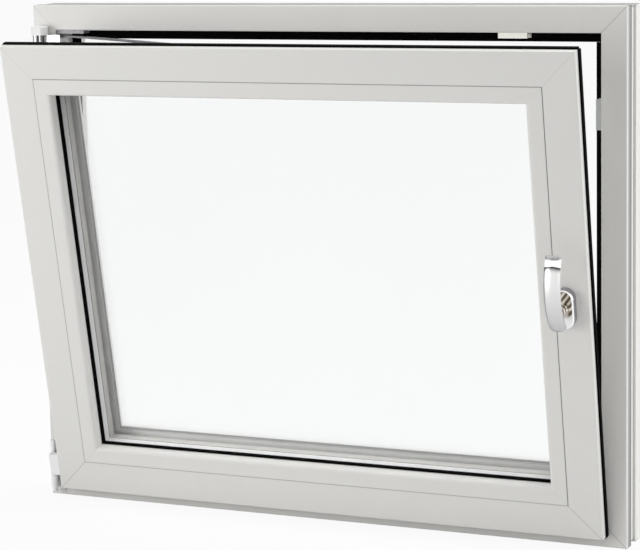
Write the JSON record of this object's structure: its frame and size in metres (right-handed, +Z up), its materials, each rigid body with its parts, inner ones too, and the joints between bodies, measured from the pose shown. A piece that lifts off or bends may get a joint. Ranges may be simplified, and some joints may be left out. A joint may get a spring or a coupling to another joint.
{
  "type": "upvc tilt-and-turn window, tilted in",
  "caption": "White plastic window in a mitred frame, its glazed sash tilted into the room on a stay arm, with a bowed lever handle.",
  "frame": {"origin": "on the frame's underside, at the middle of its width and of the flat strip between the room face and the outside recess, 12 mm behind the room face", "axes": "+X to the right as seen from the room, +Y outdoors, +Z up"},
  "size_m": [1.09, 0.2588, 0.892],
  "materials": {
    "black_seal": "matt black extruded rubber",
    "bright_hinge": "bright plated steel",
    "clear_glass": "clear float glass",
    "keep_metal": "pale zinc plated steel",
    "satin_handle": "satin silver finish with polished ends",
    "spacer_bar": "dull mill aluminium",
    "white_bead": "smooth white extruded plastic, satin gloss",
    "white_cover": "moulded white plastic",
    "white_profile": "smooth white extruded plastic, satin gloss",
    "zinc_steel": "zinc plated steel"
  },
  "bodies": {
    "window": {"frame_top_rail": "white_profile", "frame_bottom_rail": "white_profile", "frame_left_jamb": "white_profile", "frame_right_jamb": "white_profile", "frame_seal": "black_seal", "sash_top_rail": "white_profile", "sash_bottom_rail": "white_profile", "sash_left_stile": "white_profile", "sash_right_stile": "white_profile", "sash_seal": "black_seal", "glazing_bead_top": "white_bead", "glazing_bead_bottom": "white_bead", "glazing_bead_left": "white_bead", "glazing_bead_right": "white_bead", "glazing_seal_inner": "black_seal", "glazing_seal_outer": "black_seal", "inner_pane": "clear_glass", "middle_pane": "clear_glass", "outer_pane": "clear_glass", "pane_spacer": "spacer_bar", "keep_top": "keep_metal", "keep_side_upper": "keep_metal", "keep_side_lower": "keep_metal", "lock_plate_top": "zinc_steel", "lock_plate_side": "zinc_steel", "lock_cams": "zinc_steel", "stay_bearing": "bright_hinge", "stay_strap": "bright_hinge", "stay_bearing_cap": "white_cover", "stay_pivot_block": "white_cover", "stay_bracket": "zinc_steel", "stay_guide": "zinc_steel", "stay_arm": "zinc_steel", "corner_hinge_leaf": "white_cover", "corner_hinge_knuckle": "white_cover", "corner_hinge_pin": "zinc_steel", "handle_rosette": "satin_handle"},
    "handle": {"handle_grip": "satin_handle"}
  },
  "joints": [
    {"name": "handle_turn", "type": "hinge", "parent": "window", "child": "handle", "pos_m": [0.473, -0.12481, 0.4167], "axis": [0, -0.9839, -0.1788], "range_deg": [0, 180]}
  ]
}
